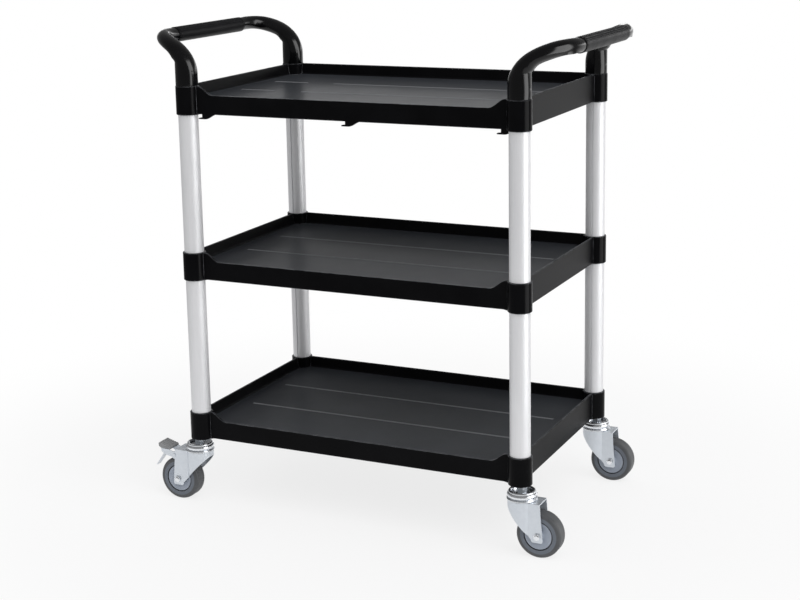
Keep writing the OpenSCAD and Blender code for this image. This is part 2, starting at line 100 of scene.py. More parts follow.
class Sketch:
    """Nodes and links of one shader tree, added one after another in rows."""

    abreast: ClassVar[int] = 8
    spacing: ClassVar[tuple[int, int]] = (220, 260)

    def __init__(self, tree: bpy.types.NodeTree) -> None:
        """Starts with an empty tree.

        Args:
            tree: The node tree to fill.
        """
        tree.nodes.clear()
        self.tree = tree

    def add(self, kind: str, inputs: dict | None = None, **settings: object) -> bpy.types.Node:
        """Adds a node.

        Args:
            kind: The node's type name.
            inputs: Values or sockets for its inputs, by name or index.
            **settings: The node's own properties.

        Returns:
            The new node.
        """
        node = self.tree.nodes.new(kind)
        row, column = divmod(len(self.tree.nodes), self.abreast)
        node.location = (self.spacing[0] * column, -self.spacing[1] * row)
        for key, setting in settings.items():
            setattr(node, key, setting)
        for key, given in (inputs or {}).items():
            self.put(given, node.inputs[key])
        return node

    def put(self, given: object, into: Socket) -> None:
        """Links a socket into an input, or sets the input to a value."""
        if isinstance(given, Socket):
            self.tree.links.new(given, into)
        else:
            into.default_value = given

    def math(self, operation: str, a: object, b: object = 0.0, clamp: bool = False) -> Socket:
        """Adds a Math node on two values or sockets and returns its result."""
        return self.add("ShaderNodeMath", {0: a, 1: b}, operation=operation, use_clamp=clamp).outputs[0]

    def remap(self, value: Socket, low: float, high: float, to_low: float = 0.0,
              to_high: float = 1.0) -> Socket:
        """Maps a value from one range to another, smoothly and clamped.

        Args:
            value: The socket to map.
            low: Start of its range.
            high: End of its range.
            to_low: Result at the start.
            to_high: Result at the end.

        Returns:
            The mapped socket.
        """
        ends = {"Value": value, "From Min": low, "From Max": high, "To Min": to_low, "To Max": to_high}
        return self.add("ShaderNodeMapRange", ends, interpolation_type="SMOOTHSTEP").outputs["Result"]

    def between(self, share: object, a: object, b: object) -> Socket:
        """Goes from one value or socket at share 0 to another at share 1."""
        return self.add("ShaderNodeMix", {0: share, 2: a, 3: b}, data_type="FLOAT").outputs[0]

    def blend(self, factor: object, a: object, b: object) -> Socket:
        """Mixes two colours.

        Args:
            factor: Share of the second one, a value or a socket.
            a: First colour or socket.
            b: Second colour or socket.

        Returns:
            The mixed colour.
        """
        first, second = (c if isinstance(c, Socket) else (*c, 1.0) for c in (a, b))
        return self.add("ShaderNodeMix", {0: factor, 6: first, 7: second}, data_type="RGBA").outputs[2]

    def coordinates(self, scale: tuple[float, float, float] = (1, 1, 1)) -> Socket:
        """Object coordinates in metres, scaled along each axis."""
        place = self.add("ShaderNodeTexCoord").outputs["Object"]
        return self.add("ShaderNodeMapping", {"Vector": place, "Scale": scale}).outputs[0]

    def noise(self, place: Socket, scale: object, detail: float, roughness: float = 0.5) -> Socket:
        """Adds a Noise Texture.

        Args:
            place: Where it is read.
            scale: Its scale, a value or a socket.
            detail: How many finer layers it has.
            roughness: How strong those are.

        Returns:
            The noise, 0 to 1.
        """
        settings = {"Vector": place, "Scale": scale, "Detail": detail, "Roughness": roughness}
        return self.add("ShaderNodeTexNoise", settings).outputs[0]

    def axes(self, vector: Socket) -> bpy.types.NodeOutputs:
        """Splits a vector into its X, Y and Z."""
        return self.add("ShaderNodeSeparateXYZ", {0: vector}).outputs

    def facing(self) -> bpy.types.NodeOutputs:
        """The surface normal in object space, split into X, Y and Z."""
        return self.axes(self.add("ShaderNodeTexCoord").outputs["Normal"])

    def length(self, vector: Socket) -> Socket:
        """Length of a vector."""
        return self.add("ShaderNodeVectorMath", {0: vector}, operation="LENGTH").outputs["Value"]


class Effect:
    """A shader node group that finishes share, built once. Its outputs are plain numbers.

    Its contrast is the part of a noise's range that is drawn out to 0 to 1.
    """

    title: ClassVar[str] = ""
    inputs: ClassVar[dict[str, float]] = {}
    outputs: ClassVar[tuple[str, ...]] = ()
    contrast: ClassVar[Span] = (0.3, 0.7)
    _built: ClassVar[dict[str, bpy.types.NodeTree]] = {}

    def draw(self, sketch: Sketch, given: Sockets) -> Sockets:
        """Draws the effect.

        Args:
            sketch: The group's tree.
            given: The group's inputs, by name.

        Returns:
            What feeds each output, by name.
        """
        raise NotImplementedError

    def group(self) -> bpy.types.NodeTree:
        """The node group, built on first use."""
        if self.title not in Effect._built:
            tree = bpy.data.node_groups.new(self.title, "ShaderNodeTree")
            for name, default in self.inputs.items():
                socket = tree.interface.new_socket(name, in_out="INPUT", socket_type="NodeSocketFloat")
                socket.default_value = default
            for name in self.outputs:
                tree.interface.new_socket(name, in_out="OUTPUT", socket_type="NodeSocketFloat")
            sketch = Sketch(tree)
            entry = sketch.add("NodeGroupInput")
            drawn = self.draw(sketch, {name: entry.outputs[name] for name in self.inputs})
            sketch.add("NodeGroupOutput", drawn)
            Effect._built[self.title] = tree
        return Effect._built[self.title]

    def place(self, sketch: Sketch, **amounts: float) -> Sockets:
        """Places the group in a material.

        Args:
            sketch: The material's tree.
            **amounts: Input values; an underscore stands for a space.

        Returns:
            The group's outputs, by name.
        """
        node = sketch.add("ShaderNodeGroup", node_tree=self.group())
        for name, amount in amounts.items():
            node.inputs[name.replace("_", " ")].default_value = amount
        return {name: node.outputs[name] for name in self.outputs}


class MouldedGrain(Effect):
    """Fine spark-eroded texture of a mould, with slow changes of tone."""

    title = "Moulded grain"
    inputs = {"Cells": 1400.0, "Clouds": 14.0}
    outputs = ("Height", "Mottle")
    contrast = (0.32, 0.68)
    cell_share: ClassVar[float] = 0.6

    def draw(self, sketch: Sketch, given: Sockets) -> Sockets:
        """Mixes cells with fine noise for height, and takes a slow noise for tone."""
        place = sketch.coordinates()
        settings = {"Vector": place, "Scale": given["Cells"], "Smoothness": 0.6}
        cells = sketch.add("ShaderNodeTexVoronoi", settings, feature="SMOOTH_F1").outputs["Distance"]
        fine = sketch.noise(place, given["Cells"], detail=3.0)
        slow = sketch.noise(place, given["Clouds"], detail=4.0, roughness=0.55)
        height = sketch.between(self.cell_share, fine, cells)
        return {"Height": height, "Mottle": sketch.remap(slow, *self.contrast)}


class PaintedEdgeHighlight(Effect):
    """Where a surface turns over an edge, for a painted highlight along edges, broken up in patches."""

    title = "Broken edge"
    inputs = {"Reach": 0.001, "Breakup": 60.0}
    outputs = ("Edge",)
    contrast = (0.35, 0.6)
    turn: ClassVar[Span] = (0.01, 0.16)
    least: ClassVar[float] = 0.25

    def draw(self, sketch: Sketch, given: Sockets) -> Sockets:
        """Compares the surface normal with one rounded over the edge."""
        rounded = sketch.add("ShaderNodeBevel", {"Radius": given["Reach"]}, samples=4)
        true = sketch.add("ShaderNodeNewGeometry").outputs["Normal"]
        match = sketch.add("ShaderNodeVectorMath", {0: rounded.outputs[0], 1: true}, operation="DOT_PRODUCT")
        turned = sketch.math("SUBTRACT", 1.0, match.outputs["Value"], clamp=True)
        broken = sketch.noise(sketch.coordinates(), given["Breakup"], detail=5.0)
        patchy = sketch.remap(broken, *self.contrast, to_low=self.least)
        return {"Edge": sketch.math("MULTIPLY", sketch.remap(turned, *self.turn), patchy, clamp=True)}


class DustAndTopLight(Effect):
    """Faces that look up, in uneven patches: a thin dusty film, and painted top light that makes them
    lighter.
    """

    title = "Settled dust"
    inputs = {"Patches": 9.0}
    outputs = ("Facing up",)
    contrast = (0.3, 0.72)
    level: ClassVar[Span] = (0.75, 0.98)
    thinnest: ClassVar[float] = 0.82

    def draw(self, sketch: Sketch, given: Sockets) -> Sockets:
        """Keeps level faces and breaks them up with noise."""
        level = sketch.remap(sketch.facing()["Z"], *self.level)
        patches = sketch.noise(sketch.coordinates(), given["Patches"], detail=6.0, roughness=0.62)
        patchy = sketch.remap(patches, *self.contrast, to_low=self.thinnest)
        return {"Facing up": sketch.math("MULTIPLY", level, patchy)}


class PostCorners(Effect):
    """Where a tray is near one of the four posts, for its polished sockets."""

    title = "Post corners"
    inputs = {"Half length": 0.355, "Half width": 0.219, "Radius": 0.0245}
    outputs = ("Near",)
    fade: ClassVar[Span] = (0.98, 1.02)

    def draw(self, sketch: Sketch, given: Sockets) -> Sockets:
        """Measures the level distance to the nearest post."""
        place = sketch.axes(sketch.coordinates())
        x = sketch.math("SUBTRACT", sketch.math("ABSOLUTE", place["X"]), given["Half length"])
        y = sketch.math("SUBTRACT", sketch.math("ABSOLUTE", place["Y"]), given["Half width"])
        squares = sketch.math("ADD", sketch.math("MULTIPLY", x, x), sketch.math("MULTIPLY", y, y))
        ratio = sketch.math("DIVIDE", sketch.math("SQRT", squares), given["Radius"])
        return {"Near": sketch.remap(ratio, *self.fade, 1, 0)}


class BeadHighlights(Effect):
    """Where the two low beads along a tray's floor get a painted highlight, each in a band across which it
    fades out.
    """

    title = "Floor beads"
    inputs = {"Under": 0.170, "Pitch": 0.340, "Rise": 0.0026, "From middle": 0.071, "Band": 0.0042,
              "Half length": 0.317, "Gap centre": -0.207, "Gap half": 0.031, "Top tray": 0.8}
    outputs = ("Bead highlight",)
    fade: ClassVar[Span] = (0.7, 1.0)

    def draw(self, sketch: Sketch, given: Sockets) -> Sockets:
        """Keeps a band each side of the middle, just above each floor, with the top tray's gap left out."""
        place = sketch.axes(sketch.coordinates())
        across = sketch.math("SUBTRACT", sketch.math("ABSOLUTE", place["Y"]), given["From middle"])
        share = sketch.math("DIVIDE", sketch.math("ABSOLUTE", across), given["Band"])
        band = sketch.remap(share, *self.fade, 1, 0)
        height = sketch.math("FLOORED_MODULO", sketch.math("SUBTRACT", place["Z"], given["Under"]),
                             given["Pitch"])
        low = sketch.math("LESS_THAN", height, given["Rise"])
        along = sketch.math("LESS_THAN", sketch.math("ABSOLUTE", place["X"]), given["Half length"])
        apart = sketch.math("ABSOLUTE", sketch.math("SUBTRACT", place["X"], given["Gap centre"]))
        gap = sketch.math("MULTIPLY", sketch.math("LESS_THAN", apart, given["Gap half"]),
                          sketch.math("GREATER_THAN", place["Z"], given["Top tray"]))
        kept = sketch.math("MULTIPLY", sketch.math("MULTIPLY", band, low), along)
        return {"Bead highlight": sketch.math("SUBTRACT", kept, gap, clamp=True)}


class WheelRadius(Effect):
    """Distance from a wheel piece's axle, as a share of its outer radius."""

    title = "Wheel radius"
    outputs = ("Share",)

    def draw(self, sketch: Sketch, given: Sockets) -> Sockets:
        """Measures in the piece's own box, across the axle."""
        place = sketch.add("ShaderNodeTexCoord").outputs["Generated"]
        flat = sketch.add("ShaderNodeMapping", {"Vector": place, "Location": (-1, 0, -1), "Scale": (2, 0, 2)})
        return {"Share": sketch.length(flat.outputs[0])}


class DrawnLines(Effect):
    """Fine lines that run up a drawn or extruded surface."""

    title = "Drawn lines"
    inputs = {"Lines": 900.0, "Clouds": 20.0}
    outputs = ("Line", "Cloud")
    line_scale: ClassVar[tuple[float, float, float]] = (1, 1, 0.012)
    cloud_scale: ClassVar[tuple[float, float, float]] = (1, 1, 0.35)

    def draw(self, sketch: Sketch, given: Sockets) -> Sockets:
        """Noise drawn out along Z, and a slow cloud."""
        line = sketch.noise(sketch.coordinates(self.line_scale), given["Lines"], detail=2.0)
        cloud = sketch.noise(sketch.coordinates(self.cloud_scale), given["Clouds"], detail=3.0)
        return {"Line": sketch.remap(line, *self.contrast), "Cloud": sketch.remap(cloud, *self.contrast)}


class PlatedMottle(Effect):
    """Cloudy tone and fine rub marks of zinc and chrome plating."""

    title = "Plated mottle"
    inputs = {"Clouds": 90.0, "Rubs": 420.0}
    outputs = ("Cloud", "Rub")
    rub_scale: ClassVar[tuple[float, float, float]] = (0.2, 0.2, 1)
    rub_contrast: ClassVar[Span] = (0.35, 0.75)

    def draw(self, sketch: Sketch, given: Sockets) -> Sockets:
        """A cloud noise, and rub marks drawn out sideways."""
        cloud = sketch.noise(sketch.coordinates(), given["Clouds"], detail=5.0, roughness=0.6)
        rub = sketch.noise(sketch.coordinates(self.rub_scale), given["Rubs"], detail=3.0)
        return {"Cloud": sketch.remap(cloud, *self.contrast), "Rub": sketch.remap(rub, *self.rub_contrast)}


# ---------------------------------------------------------------------- finishes


@dataclass(frozen=True)
class Finish:
    """A surface finish, which becomes one material."""

    title: str
    slot: str

    def material(self) -> bpy.types.Material:
        """The finish as a material, built on first use.

        Returns:
            The material.
        """
        found = bpy.data.materials.get(self.title)
        if found is None:
            found = bpy.data.materials.new(self.title)
            found.use_nodes = True
            sketch = Sketch(found.node_tree)
            shader = sketch.add("ShaderNodeBsdfPrincipled")
            sketch.add("ShaderNodeOutputMaterial", {"Surface": shader.outputs[0]})
            self.draw(sketch, shader)
        return found

    def draw(self, sketch: Sketch, shader: bpy.types.Node) -> None:
        """Feeds the shader.

        Args:
            sketch: The material's tree.
            shader: Its Principled BSDF.
        """
        raise NotImplementedError

    @staticmethod
    def bump(sketch: Sketch, shader: bpy.types.Node, height: Socket, depth: float,
             strength: float = 1.0) -> None:
        """Feeds the shader's normal from a height.

        Args:
            sketch: The material's tree.
            shader: Its Principled BSDF.
            height: The height, 0 to 1.
            depth: What 1 stands for, in metres.
            strength: How much of it shows.
        """
        node = sketch.add("ShaderNodeBump", {"Strength": strength, "Distance": depth, "Height": height})
        sketch.put(node.outputs[0], shader.inputs["Normal"])

    @staticmethod
    def feed(sketch: Sketch, shader: bpy.types.Node, **given: object) -> None:
        """Puts sockets and values into the shader's inputs; an underscore stands for a space."""
        for name, amount in given.items():
            sketch.put(amount, shader.inputs[name.replace("_", " ")])


@dataclass(frozen=True)
class MouldedPlastic(Finish):
    """Injection-moulded plastic with grain, a painted highlight along its edges, and a lighter tone on faces
    that look up, partly a dusty film and partly painted top light.

    Its tone goes from dark to light and its roughness from low to high with the mottle. Depths and
    reaches are in metres.
    """

    dark: Colour = (0.0032, 0.0032, 0.0037)
    light: Colour = (0.0046, 0.0046, 0.0053)
    # edge is the colour of a painted highlight along edges; the colour after it lightens faces that look up,
    # partly as a dusty film and partly as painted top light.
    edge: Colour = (0.11, 0.112, 0.12)
    dust_and_top_light: Colour = (0.012, 0.014, 0.019)
    dust_and_light_share: float = 0.4
    rough_low: float = 0.25
    rough_high: float = 0.265
    dust_rough: float = 0.01
    specular: float = 0.03
    cells: float = 1500.0
    clouds: float = 11.0
    grain_depth: float = 0.00003
    edge_reach: float = 0.0012

    def draw(self, sketch: Sketch, shader: bpy.types.Node) -> None:
        """Tone from the mottle, then a dusty film with painted top light on level faces, then painted edge
        highlights.
        """
        grain = MouldedGrain().place(sketch, Cells=self.cells, Clouds=self.clouds)
        facing_up = DustAndTopLight().place(sketch)["Facing up"]
        edge = PaintedEdgeHighlight().place(sketch, Reach=self.edge_reach)["Edge"]
        tone = sketch.blend(grain["Mottle"], self.dark, self.light)
        # Faces that look up get lighter: a dusty film and painted top light.
        tone = sketch.blend(sketch.math("MULTIPLY", facing_up, self.dust_and_light_share), tone, self.dust_and_top_light)
        # Painted highlight along edges.
        tone = sketch.blend(edge, tone, self.edge)
        rough = sketch.remap(grain["Mottle"], 0, 1, self.rough_low, self.rough_high)
        rough = sketch.math("ADD", rough, sketch.math("MULTIPLY", facing_up, self.dust_rough), clamp=True)
        tone, rough = self.worked(sketch, tone, rough)
        self.feed(sketch, shader, Base_Color=tone, Roughness=rough, Specular_IOR_Level=self.specular)
        self.bump(sketch, shader, grain["Height"], self.grain_depth)

    def worked(self, sketch: Sketch, tone: Socket, rough: Socket) -> tuple[Socket, Socket]:
        """Changes tone and roughness where the moulding differs from place to place.

        Args:
            sketch: The material's tree.
            tone: The colour so far.
            rough: The roughness so far.

        Returns:
            Both, changed or not.
        """
        return tone, rough


@dataclass(frozen=True)
class TrayPlastic(MouldedPlastic):
    """The trays' plastic, with smoother sockets and painted highlights on the floor beads."""

    # Painted highlight along the edges; the lighter colour on faces that look up is mostly painted top light
    # on the floors, with a little dusty film.
    edge: Colour = (0.2, 0.205, 0.22)
    edge_reach: float = 0.0018
    dust_and_top_light: Colour = (0.042, 0.0455, 0.052)
    dust_and_light_share: float = 1.0
    rough_low: float = 0.33
    rough_high: float = 0.345
    polish: float = 0.17
    specular: float = 0.045
    # Colour of the painted highlight on the floor beads.
    bead_highlight: Colour = (0.17, 0.175, 0.185)

    def worked(self, sketch: Sketch, tone: Socket, rough: Socket) -> tuple[Socket, Socket]:
        """Paints highlights on the beads and smooths the sockets."""
        near = PostCorners().place(sketch)["Near"]
        rough = sketch.math("SUBTRACT", rough, sketch.math("MULTIPLY", near, self.polish), clamp=True)
        return sketch.blend(BeadHighlights().place(sketch)["Bead highlight"], tone, self.bead_highlight), rough


@dataclass(frozen=True)
class DrawnAluminium(Finish):
    """Satin anodised extrusion with faint lines along its length."""

    dark: Colour = (0.80, 0.803, 0.82)
    light: Colour = (0.86, 0.863, 0.88)
    rough_low: float = 0.42
    rough_high: float = 0.5
    metal: float = 0.2
    line_share: float = 0.45
    line_depth: float = 0.000012
    line_strength: float = 0.6

    def draw(self, sketch: Sketch, shader: bpy.types.Node) -> None:
        """Tone and roughness from the lines and clouds."""
        drawn = DrawnLines().place(sketch)
        share = sketch.between(self.line_share, drawn["Cloud"], drawn["Line"])
        self.feed(sketch, shader, Base_Color=sketch.blend(share, self.dark, self.light), Metallic=self.metal,
                  Roughness=sketch.remap(share, 0, 1, self.rough_high, self.rough_low))
        self.bump(sketch, shader, drawn["Line"], self.line_depth, self.line_strength)


@dataclass(frozen=True)
class PlatedSteel(Finish):
    """Zinc- or chrome-plated steel."""

    dark: Colour = (0.66, 0.70, 0.75)
    light: Colour = (0.70, 0.74, 0.79)
    # edge is the colour of a painted highlight along edges.
    edge: Colour = (0.88, 0.90, 0.92)
    rough_low: float = 0.28
    rough_high: float = 0.34
    metal: float = 0.6
    rub_share: float = 0.5
    rub_depth: float = 0.000002
    rub_strength: float = 0.5
    edge_reach: float = 0.0005
    edge_breakup: float = 200.0

    def draw(self, sketch: Sketch, shader: bpy.types.Node) -> None:
        """Clouded tone, rub marks in the roughness and painted highlights on the edges."""
        plated = PlatedMottle().place(sketch)
        edge = PaintedEdgeHighlight().place(sketch, Reach=self.edge_reach, Breakup=self.edge_breakup)["Edge"]
        tone = sketch.blend(edge, sketch.blend(plated["Cloud"], self.dark, self.light), self.edge)
        share = sketch.between(self.rub_share, plated["Cloud"], plated["Rub"])
        self.feed(sketch, shader, Base_Color=tone, Metallic=self.metal,
                  Roughness=sketch.remap(share, 0, 1, self.rough_low, self.rough_high))
        self.bump(sketch, shader, plated["Rub"], self.rub_depth, self.rub_strength)


@dataclass(frozen=True)
class TyreRubber(Finish):
    """Grey thermoplastic rubber: paler side walls, darker scuffed tread.

    Each edge is a pair of shares of the outer radius, between which one tone goes over into the other.
    """

    tread: Colour = (0.08, 0.083, 0.088)
    scuffed: Colour = (0.1, 0.103, 0.108)
    wall: Colour = (0.15, 0.168, 0.198)
    # The dark ring where the tyre meets the hub is painted shade in the gap between them.
    gap_shade: Colour = (0.012, 0.013, 0.016)
    rough_low: float = 0.42
    rough_high: float = 0.6
    specular: float = 0.4
    cells: float = 900.0
    clouds: float = 60.0
    grain_depth: float = 0.00005
    wall_facing: Span = (0.75, 0.97)
    wall_edge: Span = (0.8, 0.83)
    gap_shade_edge: Span = (0.64, 0.66)

    def draw(self, sketch: Sketch, shader: bpy.types.Node) -> None:
        """Splits wall from tread by the way the surface faces and by its distance from the axle, and paints
        shade in a dark ring at the gap to the hub.
        """
        grain = MouldedGrain().place(sketch, Cells=self.cells, Clouds=self.clouds)
        sideways = sketch.math("ABSOLUTE", sketch.facing()["Y"])
        share = WheelRadius().place(sketch)["Share"]
        wall = sketch.math("MULTIPLY", sketch.remap(sideways, *self.wall_facing),
                           sketch.remap(share, *self.wall_edge, 1, 0))
        tread = sketch.blend(grain["Mottle"], self.tread, self.scuffed)
        tone = sketch.blend(wall, tread, self.wall)
        # Painted shade in the gap to the hub.
        gap_shade = sketch.remap(share, *self.gap_shade_edge, 1, 0)
        self.feed(sketch, shader, Base_Color=sketch.blend(gap_shade, tone, self.gap_shade),
                  Roughness=sketch.remap(grain["Mottle"], 0, 1, self.rough_low, self.rough_high),
                  Specular_IOR_Level=self.specular)
        self.bump(sketch, shader, grain["Height"], self.grain_depth)


TRAY_PLASTIC = TrayPlastic("tray_polypropylene", "shelf_plastic")
# In these finishes edge is the colour of a painted highlight along edges, and the colour for faces that look
# up is partly a dusty film and partly painted top light.
HANDLE_PLASTIC = MouldedPlastic(
    "handle_gloss", "handle_plastic", dark=(0.0015, 0.0015, 0.0018), light=(0.0025, 0.0025, 0.003),
    edge=(0.008, 0.008, 0.009), dust_and_top_light=(0.01, 0.01, 0.01), dust_and_light_share=0.1, rough_low=0.14, rough_high=0.2,
    dust_rough=0.04, specular=0.3, cells=260.0, clouds=18.0, grain_depth=0.00002)
GRIP_PLASTIC = MouldedPlastic(
    "grip_matte", "grip_plastic", dark=(0.005, 0.005, 0.006), light=(0.008, 0.008, 0.009),
    edge=(0.06, 0.061, 0.066), dust_and_light_share=0.15, rough_low=0.36, rough_high=0.42, specular=0.06, cells=1900.0,
    clouds=30.0, edge_reach=0.0005)
PLUG_NYLON = MouldedPlastic(
    "plug_nylon", "plug_plastic", dark=(0.02, 0.02, 0.021), light=(0.03, 0.03, 0.032), dust_and_light_share=0.1,
    rough_low=0.5, rough_high=0.62, cells=1200.0)
HUB_PLASTIC = MouldedPlastic(
    "hub_polypropylene", "wheel_hub", dark=(0.34, 0.38, 0.45), light=(0.38, 0.42, 0.49),
    edge=(0.5, 0.53, 0.58), dust_and_top_light=(0.3, 0.3, 0.31), dust_and_light_share=0.2, rough_low=0.38, rough_high=0.5,
    specular=0.4, cells=1100.0, clouds=45.0, edge_reach=0.0005)
PAD_PLASTIC = MouldedPlastic(
    "foot_pad", "pad_plastic", dark=(0.26, 0.265, 0.27), light=(0.31, 0.315, 0.32), edge=(0.45, 0.455, 0.46),
    dust_and_top_light=(0.3, 0.3, 0.3), dust_and_light_share=0.3, rough_low=0.45, rough_high=0.55, specular=0.4, cells=900.0,
    clouds=60.0, edge_reach=0.0006)
POST_ALUMINIUM = DrawnAluminium("post_aluminium_satin", "post_aluminium")
FORK_ZINC = PlatedSteel("pressed_zinc", "zinc_satin")
RING_CHROME = PlatedSteel(
    "ring_chrome", "zinc_bright", dark=(0.78, 0.80, 0.83), light=(0.84, 0.86, 0.89), rough_low=0.26,
    rough_high=0.3, metal=1.0)
TYRE_RUBBER = TyreRubber("tyre_rubber", "wheel_tyre")


# ------------------------------------------------------------------ mesh helpers


def piece_from(name: str, mesh: bpy.types.Mesh) -> bpy.types.Object:
    """Links a new object for a mesh into the scene.

    Args:
        name: Name of the piece.
        mesh: Its mesh, in metres, in the cart's frame.

    Returns:
        The new object.
    """
    made = bpy.data.objects.new(name, mesh)
    bpy.context.scene.collection.objects.link(made)
    return made


def mesh_from(name: str, shape: bmesh.types.BMesh) -> bpy.types.Mesh:
    """Turns a finished shape into a mesh and frees it.

    Args:
        name: Name of the mesh.
        shape: The shape, in metres.

    Returns:
        The mesh.
    """
    mesh = bpy.data.meshes.new(name)
    shape.to_mesh(mesh)
    shape.free()
    return mesh


def loft(name: str, rings: list[Ring], closed: bool = False) -> bpy.types.Mesh:
    """Skins over rings that have the same number of points.

    Args:
        name: Name of the mesh.
        rings: The rings in order, each going the same way round.
        closed: Whether the last ring joins the first; otherwise both ends are capped.

    Returns:
        The mesh, with outward normals.
    """
    shape = bmesh.new()
    rows = [[shape.verts.new(p) for p in ring] for ring in rings]
    pairs = list(zip(rows, rows[1:])) + ([(rows[-1], rows[0])] if closed else [])
    for low, high in pairs:
        for i in range(len(low)):
            j = (i + 1) % len(low)
            shape.faces.new((low[i], low[j], high[j], high[i]))
    if not closed:
        shape.faces.new(rows[0][::-1])
        shape.faces.new(rows[-1])
    bmesh.ops.recalc_face_normals(shape, faces=shape.faces)
    return mesh_from(name, shape)


def fuse(name: str, *skins: bpy.types.Mesh) -> bpy.types.Mesh:
    """Joins overlapping closed skins into one, with no faces left inside.

    Args:
        name: Name of the mesh.
        *skins: The skins, which are used up.

    Returns:
        The joined mesh.
    """
    held = [bpy.data.objects.new(skin.name, skin) for skin in skins]
    for part in held:
        bpy.context.scene.collection.objects.link(part)
    for part in held[1:]:
        join = held[0].modifiers.new("join", "BOOLEAN")
        join.operation, join.solver, join.object = "UNION", "EXACT", part
    whole = bpy.data.meshes.new_from_object(held[0].evaluated_get(bpy.context.evaluated_depsgraph_get()))
    for skin in skins:
        bpy.data.meshes.remove(skin)
    whole.name = name
    return whole


def smooth_by_angle(mesh: bpy.types.Mesh, degrees: float) -> None:
    """Shades a mesh smooth, apart from edges that turn by more than the angle."""
    mesh.polygons.foreach_set("use_smooth", [True] * len(mesh.polygons))
    mesh.set_sharp_from_angle(angle=math.radians(degrees))


def break_edges(node: str, name: str, radius: float, segments: int = 2,
                corner: float = 28.0) -> bpy.types.Object:
    """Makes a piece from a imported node, with its hard edges rounded.

    Args:
        node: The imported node.
        name: Name of the new piece.
        radius: How far each hard edge is taken back, in metres.
        segments: Faces across each rounded edge.
        corner: Edges that turn by more than this many degrees are hard.

    Returns:
        The piece, riding with the node's body and standing for the node.
    """
    source = bpy.data.objects[node]
    shape = bmesh.new()
    shape.from_mesh(source.data)
    bmesh.ops.remove_doubles(shape, verts=shape.verts, dist=WELD)
    bmesh.ops.dissolve_limit(shape, angle_limit=FLAT, verts=shape.verts, edges=shape.edges)
    hard = [e for e in shape.edges if e.is_manifold and e.calc_face_angle(0) > math.radians(corner)]
    bmesh.ops.bevel(shape, geom=hard, offset=radius, offset_type="OFFSET", segments=segments, profile=0.5,
                    affect="EDGES", clamp_overlap=True, loop_slide=True)
    bmesh.ops.dissolve_degenerate(shape, dist=WELD / 4, edges=shape.edges)
    mesh = mesh_from(name, shape)
    smooth_by_angle(mesh, corner)
    made = piece_from(name, mesh)
    weigh = made.modifiers.new("face weight", "WEIGHTED_NORMAL")
    weigh.keep_sharp, weigh.weight = True, FACE_WEIGHT
    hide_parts(node)
    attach(made, source["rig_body"])
    return made


def middle(node: str) -> Vector:
    """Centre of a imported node's box."""
    low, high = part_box(node)
    return (low + high) / 2


# ------------------------------------------------------------------ sub-assemblies


@dataclass
class Assembly:
    """A sub-assembly: build makes its pieces and dress gives them their finishes."""

    pieces: list[bpy.types.Object] = field(default_factory=list, init=False)

    def build(self) -> None:
        """Makes the sub-assembly's own meshes."""

    def dress(self) -> None:
        """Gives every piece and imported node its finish."""

    def give(self, piece: bpy.types.Object, finish: Finish) -> None:
        """Puts a finish on a new piece and logs it.

        Args:
            piece: The piece.
            finish: Its finish.
        """
        piece.data.materials.clear()
        piece.data.materials.append(finish.material())
        LOG.info("piece %s: %d faces, %s", piece.name, len(piece.data.polygons), finish.title)

    def coat(self, node: str, finish: Finish) -> None:
        """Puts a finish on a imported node's slots and logs it.

        Args:
            node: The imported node.
            finish: Its finish.
        """
        carried = bpy.data.objects[node]
        for held in carried.material_slots:
            held.material = finish.material()
        LOG.info("node %s: %s", node, finish.title)


@dataclass
class TrayStack(Assembly):
    """Three moulded trays with their corner sockets, and the plugs under the bottom ones."""

    levels: tuple[str, ...] = ("top", "middle", "bottom")
    edge_radius: float = 0.7 * MM

    def build(self) -> None:
        """Rounds the trays' edges."""
        for level in self.levels:
            self.pieces.append(break_edges(f"shelf_{level}", f"tray_{level}", self.edge_radius))

    def dress(self) -> None:
        """Black plastic on the trays, nylon on the plugs."""
        for tray in self.pieces:
            self.give(tray, TRAY_PLASTIC)
        self.coat("stem_plugs", PLUG_NYLON)


@dataclass
class Posts(Assembly):
    """The eight aluminium tubes between the trays."""

    rows: tuple[str, ...] = ("upper", "lower")

    def dress(self) -> None:
        """Satin aluminium on every tube."""
        for row in self.rows:
            for corner in Corner:
                self.coat(f"post_{row}_{corner.value}", POST_ALUMINIUM)


